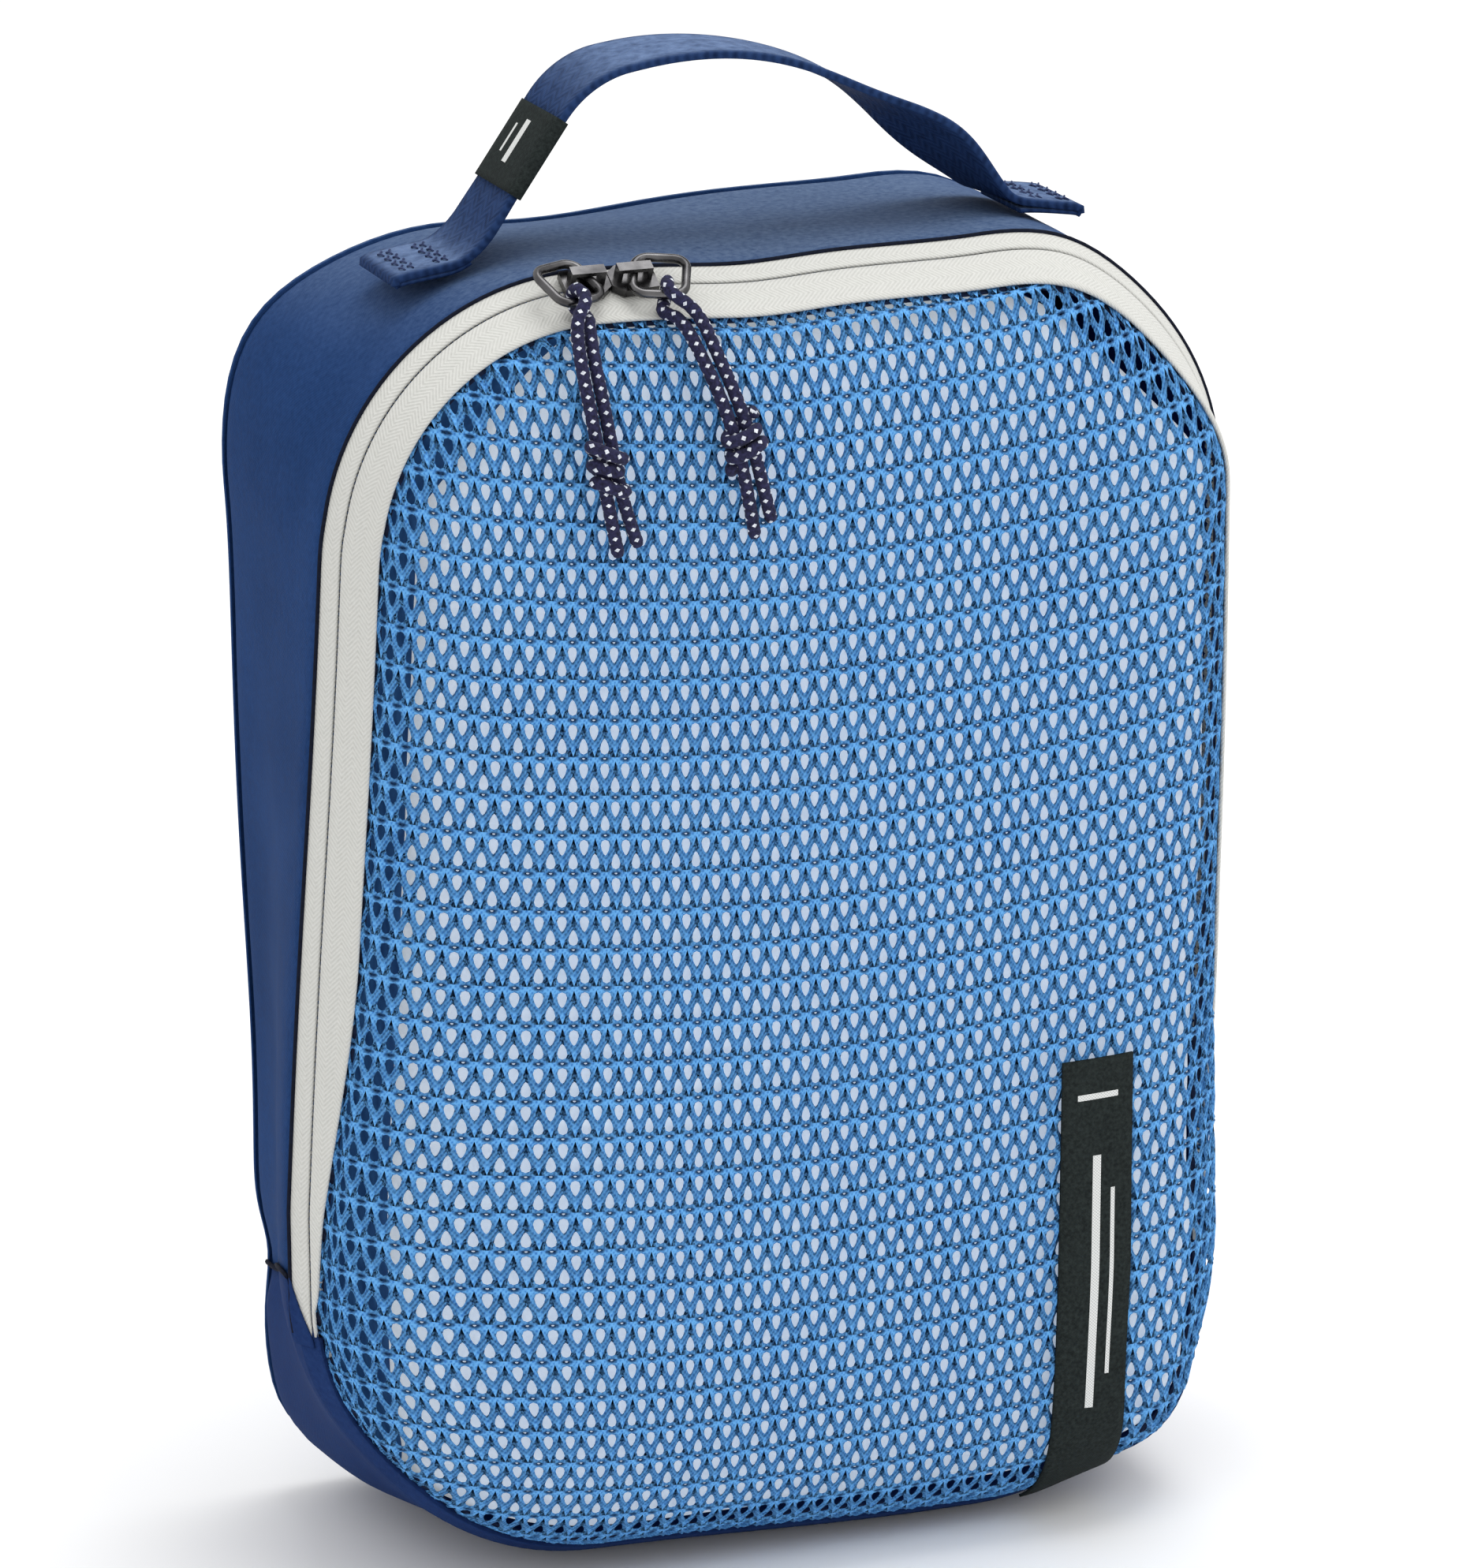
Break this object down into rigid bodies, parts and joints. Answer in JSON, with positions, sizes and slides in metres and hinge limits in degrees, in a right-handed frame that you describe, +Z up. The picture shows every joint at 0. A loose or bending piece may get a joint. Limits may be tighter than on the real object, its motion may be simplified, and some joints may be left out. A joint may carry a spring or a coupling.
{
  "type": "packing cube",
  "caption": "Small soft packing cube standing on its base, with a mesh front that unzips and folds down, two zipper pulls and a webbing carry handle.",
  "frame": {"origin": "middle of the base, on the surface it stands on", "axes": "+Z up, -Y out of the mesh front, +X to the right seen from the front"},
  "size_m": [0.178, 0.09, 0.29],
  "materials": {
    "navy_ripstop": "coated ripstop weave",
    "navy_base": "coated plain weave",
    "zipper_tape": "twill tape",
    "zipper_coil": "moulded coil",
    "binding_tape": "woven tape",
    "gunmetal": "dark plated",
    "blue_mesh": "warp knit net",
    "black_label": "woven satin label",
    "webbing": "flat webbing",
    "navy_thread": "sewing thread",
    "flecked_cord": "braided cord with pale flecks"
  },
  "bodies": {
    "shell": {"back_panel": "navy_ripstop", "upper_gusset": "navy_ripstop", "bottom_gusset": "navy_base", "outer_zipper_tape": "zipper_tape", "outer_zipper_coil": "zipper_coil", "back_seam_binding": "binding_tape", "lower_seam_binding": "binding_tape", "left_gusset_seam": "binding_tape", "right_gusset_seam": "binding_tape", "left_zipper_stop": "gunmetal", "right_zipper_stop": "gunmetal", "mesh_panel_lower": "blue_mesh", "front_label_lower": "black_label", "left_handle_tab": "webbing", "right_handle_tab": "webbing", "handle_stitching": "navy_thread"},
    "handle": {"handle_strap": "webbing", "size_label": "black_label"},
    "flap": {"mesh_panel_upper": "blue_mesh", "inner_zipper_tape": "zipper_tape", "inner_zipper_coil": "zipper_coil", "flap_seam_binding": "binding_tape", "front_label_upper": "black_label"},
    "left_slider": {"left_slider_body": "gunmetal", "left_slider_bridge": "gunmetal"},
    "left_pull": {"left_pull_ring": "gunmetal", "left_cord_over": "flecked_cord", "left_cord_under": "flecked_cord", "left_cord_knot": "flecked_cord"},
    "right_slider": {"right_slider_body": "gunmetal", "right_slider_bridge": "gunmetal"},
    "right_pull": {"right_pull_ring": "gunmetal", "right_cord_over": "flecked_cord", "right_cord_under": "flecked_cord", "right_cord_knot": "flecked_cord"}
  },
  "joints": [
    {"name": "flap_open", "type": "hinge", "parent": "shell", "child": "flap", "pos_m": [0, -0.0475, 0.056], "axis": [1, 0, 0], "range_deg": [0, 95]},
    {"name": "handle_flop", "type": "hinge", "parent": "shell", "child": "handle", "pos_m": [0, 0, 0.2644], "axis": [1, 0, 0], "range_deg": [-55, 55]},
    {"name": "left_slider_run", "type": "hinge", "parent": "flap", "child": "left_slider", "pos_m": [-0.039, -0.03, 0.204], "axis": [0, -1, 0], "range_deg": [0, 88]},
    {"name": "right_slider_run", "type": "slide", "parent": "flap", "child": "right_slider", "axis": [1, 0, 0], "range_m": [0, 0.068]},
    {"name": "left_pull_lift", "type": "hinge", "parent": "left_slider", "child": "left_pull", "pos_m": [-0.0395, -0.02976, 0.25397], "axis": [-0.342, 0.8138, 0.4698], "range_deg": [0, 60]},
    {"name": "right_pull_lift", "type": "hinge", "parent": "right_slider", "child": "right_pull", "pos_m": [-0.0305, -0.02976, 0.25397], "axis": [-0.342, -0.8138, -0.4698], "range_deg": [0, 60]}
  ]
}
